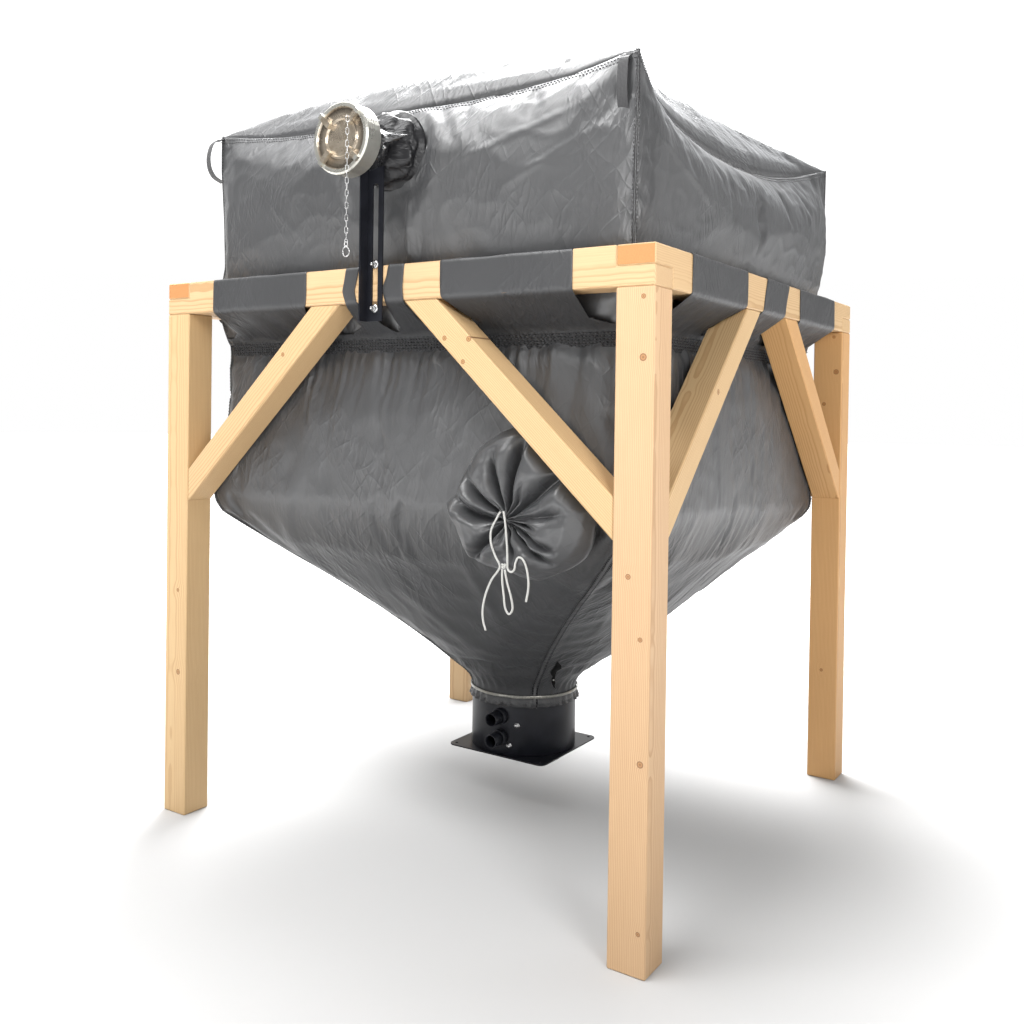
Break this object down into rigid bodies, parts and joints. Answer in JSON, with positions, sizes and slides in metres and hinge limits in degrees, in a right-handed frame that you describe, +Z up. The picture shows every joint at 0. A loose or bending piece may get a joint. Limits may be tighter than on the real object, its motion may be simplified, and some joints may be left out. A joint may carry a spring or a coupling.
{
  "type": "fabric pellet silo",
  "caption": "Woven fabric bag with a hopper and steel outlet, hung by sleeves and straps in a square timber frame with knee braces; capped filler pipe at the front.",
  "frame": {"origin": "on the floor, under the middle of the silo's bounding box; the timber frame's centre is 69 mm behind it", "axes": "+Z up, the filler pipe and inspection sleeve on the -Y side"},
  "size_m": [1.5978, 1.7355, 2.2127],
  "materials": {
    "spruce": "planed, untreated",
    "bag_fabric": "woven polyester, slight sheen",
    "webbing": "woven webbing",
    "black_steel": "powder coated, semi-gloss",
    "aluminium": "cast and turned",
    "zinc": "zinc plated",
    "drawstring": "braided polyester cord"
  },
  "bodies": {
    "root": {"post_front_left": "spruce", "post_front_right": "spruce", "post_back_left": "spruce", "post_back_right": "spruce", "beam_front": "spruce", "beam_right": "spruce", "beam_back": "spruce", "beam_left": "spruce", "brace_front_left": "spruce", "brace_front_right": "spruce", "brace_right_front": "spruce", "brace_right_back": "spruce", "brace_back_right": "spruce", "brace_back_left": "spruce", "brace_left_back": "spruce", "brace_left_front": "spruce", "bag_roof": "bag_fabric", "bag_upper_front": "bag_fabric", "bag_upper_right": "bag_fabric", "bag_upper_back": "bag_fabric", "bag_upper_left": "bag_fabric", "bag_lower_front": "bag_fabric", "bag_lower_right": "bag_fabric", "bag_lower_back": "bag_fabric", "bag_lower_left": "bag_fabric", "hanger_front": "bag_fabric", "hanger_right": "bag_fabric", "hanger_back": "bag_fabric", "hanger_left": "bag_fabric", "lifting_loop_front_left": "webbing", "lifting_loop_front_right": "webbing", "lifting_loop_back_right": "webbing", "lifting_loop_back_left": "webbing", "filler_pipe": "black_steel", "filler_coupling": "aluminium", "filler_cap": "aluminium", "filler_collar": "bag_fabric", "cap_chain": "zinc", "filler_bracket": "black_steel", "outlet_housing": "black_steel", "base_plate": "black_steel", "clamp_band": "zinc", "inspection_sleeve": "bag_fabric", "drawstring_left": "drawstring", "drawstring_right": "drawstring", "drawstring_loop": "drawstring", "drawstring_knot": "drawstring"}
  },
  "joints": []
}
